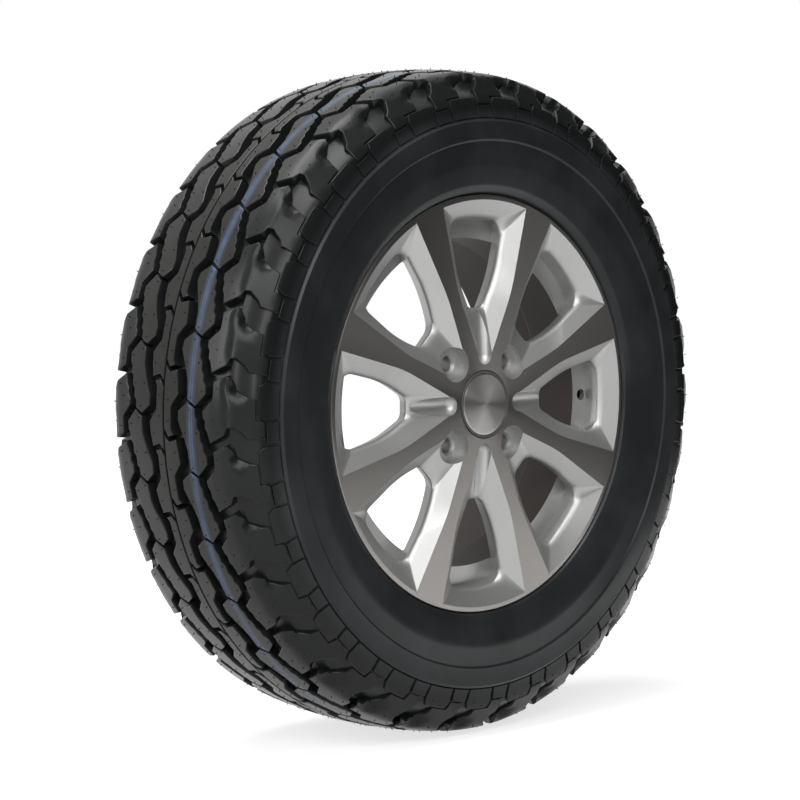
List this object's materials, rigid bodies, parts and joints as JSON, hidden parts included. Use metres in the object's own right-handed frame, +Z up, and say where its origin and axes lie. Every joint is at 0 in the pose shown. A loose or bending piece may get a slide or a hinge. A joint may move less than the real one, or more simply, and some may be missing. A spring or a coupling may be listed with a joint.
{
  "type": "wheel and tyre assembly",
  "caption": "Cast alloy wheel with tapered spokes, a snap-in centre cap and an all-terrain tyre with zigzag tread grooves.",
  "frame": {"origin": "on the axle line, in the middle of the rim's width", "axes": "+Y along the axle towards the vehicle, +Z up, street side towards -Y"},
  "size_m": [0.668, 0.214, 0.668],
  "materials": {
    "alloy_wheel": "silver paint in the pockets and barrel, turned bare metal on the spoke faces",
    "tyre": "matt black rubber",
    "centre_cap": "moulded plastic",
    "cap_disc": "spun metal"
  },
  "bodies": {
    "root": {"alloy_wheel": "alloy_wheel", "tyre": "tyre", "centre_cap": "centre_cap", "cap_disc": "cap_disc"}
  },
  "joints": []
}
